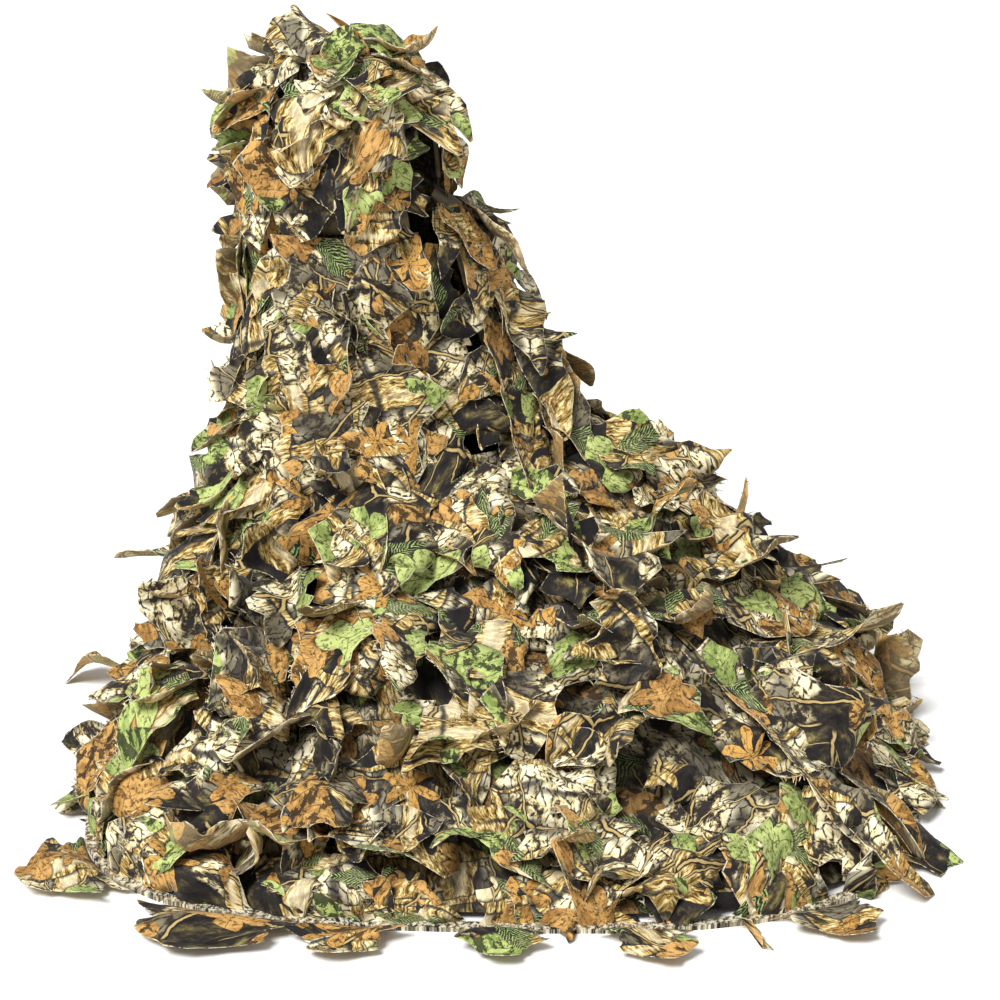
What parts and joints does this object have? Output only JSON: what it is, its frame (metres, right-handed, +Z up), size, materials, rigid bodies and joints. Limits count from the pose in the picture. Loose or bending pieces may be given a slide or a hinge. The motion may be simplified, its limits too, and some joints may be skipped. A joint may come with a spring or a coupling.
{
  "type": "hooded leaf-cut camouflage cloak",
  "caption": "Hooded camouflage cloak of leaf-cut cloth, set up as a column with its train spread on the ground; the hood folds back and the loose ends lift.",
  "frame": {"origin": "on the ground, under the middle of the cloak's bounding box", "axes": "+Z up; +X to the right along the train's longer side; +Y to the back, where the column stands"},
  "size_m": [1.0296, 0.852, 0.8138],
  "materials": {
    "leaf_cloth": "printed woven polyester, cut into leaves",
    "base_cloth": "printed woven polyester",
    "tape": "folded woven tape",
    "stud_metal": "blackened"
  },
  "bodies": {
    "cloak": {"body_leaf_row_1": "leaf_cloth", "body_leaf_row_2": "leaf_cloth", "body_leaf_row_3": "leaf_cloth", "body_leaf_row_4": "leaf_cloth", "body_left_back_panel": "base_cloth", "body_left_front_panel": "base_cloth", "body_left_side_panel": "base_cloth", "body_right_back_panel": "base_cloth", "body_right_front_panel": "base_cloth", "body_right_side_panel": "base_cloth", "front_binding_left": "tape", "front_binding_right": "tape", "hem_tape_back": "tape", "hem_tape_front": "tape", "hem_tape_left": "tape", "hem_tape_right": "tape", "neck_tape": "tape", "press_socket_1": "stud_metal", "press_socket_2": "stud_metal", "press_socket_3": "stud_metal", "press_stud_1": "stud_metal", "press_stud_2": "stud_metal", "press_stud_3": "stud_metal", "train_gore_1": "base_cloth", "train_gore_2": "base_cloth", "train_gore_3": "base_cloth", "train_gore_4": "base_cloth", "train_gore_5": "base_cloth", "train_gore_6": "base_cloth", "train_gore_7": "base_cloth", "train_gore_8": "base_cloth", "train_leaf_row_1": "leaf_cloth", "train_leaf_row_2": "leaf_cloth", "train_leaf_row_3": "leaf_cloth", "train_leaf_row_4": "leaf_cloth"},
    "hood": {"hood_crown_panel": "base_cloth", "hood_face_binding": "tape", "hood_leaf_row_crown": "leaf_cloth", "hood_leaf_row_lower": "leaf_cloth", "hood_leaf_row_upper": "leaf_cloth", "hood_left_panel": "base_cloth", "hood_nape_gusset": "base_cloth", "hood_right_panel": "base_cloth"},
    "crown_leaf_green": {"crown_leaf_green": "leaf_cloth"},
    "crown_leaf_bark": {"crown_leaf_bark": "leaf_cloth"},
    "loose_strip_left": {"loose_strip_left": "leaf_cloth"},
    "loose_strip_right": {"loose_strip_right": "leaf_cloth"},
    "ground_tongue_corner": {"ground_tongue_corner": "leaf_cloth"},
    "ground_tongue_left": {"ground_tongue_left": "leaf_cloth"},
    "ground_tongue_near": {"ground_tongue_near": "leaf_cloth"},
    "ground_tongue_middle": {"ground_tongue_middle": "leaf_cloth"},
    "ground_tongue_front": {"ground_tongue_front": "leaf_cloth"},
    "ground_tongue_right": {"ground_tongue_right": "leaf_cloth"}
  },
  "joints": [
    {"name": "hood_fold_back", "type": "hinge", "parent": "cloak", "child": "hood", "pos_m": [-0.28146, 0.32255, 0.6263], "axis": [-0.4695, -0.8829, 0], "range_deg": [0, 70]},
    {"name": "crown_leaf_green_lift", "type": "hinge", "parent": "hood", "child": "crown_leaf_green", "pos_m": [-0.14725, 0.25859, 0.80971], "axis": [0.0872, -0.9962, 0], "range_deg": [0, 65]},
    {"name": "crown_leaf_bark_lift", "type": "hinge", "parent": "hood", "child": "crown_leaf_bark", "pos_m": [-0.17109, 0.25588, 0.80976], "axis": [-0.1392, 0.9903, 0], "range_deg": [0, 65]},
    {"name": "loose_strip_left_lift", "type": "hinge", "parent": "cloak", "child": "loose_strip_left", "pos_m": [-0.34182, 0.25802, 0.22274], "axis": [0.2924, 0.9563, 0], "range_deg": [0, 55]},
    {"name": "loose_strip_right_lift", "type": "hinge", "parent": "cloak", "child": "loose_strip_right", "pos_m": [0.25348, -0.09609, 0.19851], "axis": [-0.5592, -0.829, 0], "range_deg": [0, 55]},
    {"name": "ground_tongue_corner_lift", "type": "hinge", "parent": "cloak", "child": "ground_tongue_corner", "pos_m": [-0.39334, -0.25616, 0.0024], "axis": [-0.5685, 0.8227, 0], "range_deg": [0, 70]},
    {"name": "ground_tongue_left_lift", "type": "hinge", "parent": "cloak", "child": "ground_tongue_left", "pos_m": [-0.2274, -0.35227, 0.0024], "axis": [-0.976, 0.2179, 0], "range_deg": [0, 70]},
    {"name": "ground_tongue_near_lift", "type": "hinge", "parent": "cloak", "child": "ground_tongue_near", "pos_m": [-0.10158, -0.36863, 0.0024], "axis": [-0.9984, 0.0557, 0], "range_deg": [0, 70]},
    {"name": "ground_tongue_middle_lift", "type": "hinge", "parent": "cloak", "child": "ground_tongue_middle", "pos_m": [0.04648, -0.37137, 0.0024], "axis": [-1, -0.0043, 0], "range_deg": [0, 70]},
    {"name": "ground_tongue_front_lift", "type": "hinge", "parent": "cloak", "child": "ground_tongue_front", "pos_m": [0.19097, -0.36595, 0.0024], "axis": [-0.996, -0.0891, 0], "range_deg": [0, 70]},
    {"name": "ground_tongue_right_lift", "type": "hinge", "parent": "cloak", "child": "ground_tongue_right", "pos_m": [0.37087, -0.32213, 0.0024], "axis": [-0.8988, -0.4383, 0], "range_deg": [0, 70]}
  ]
}
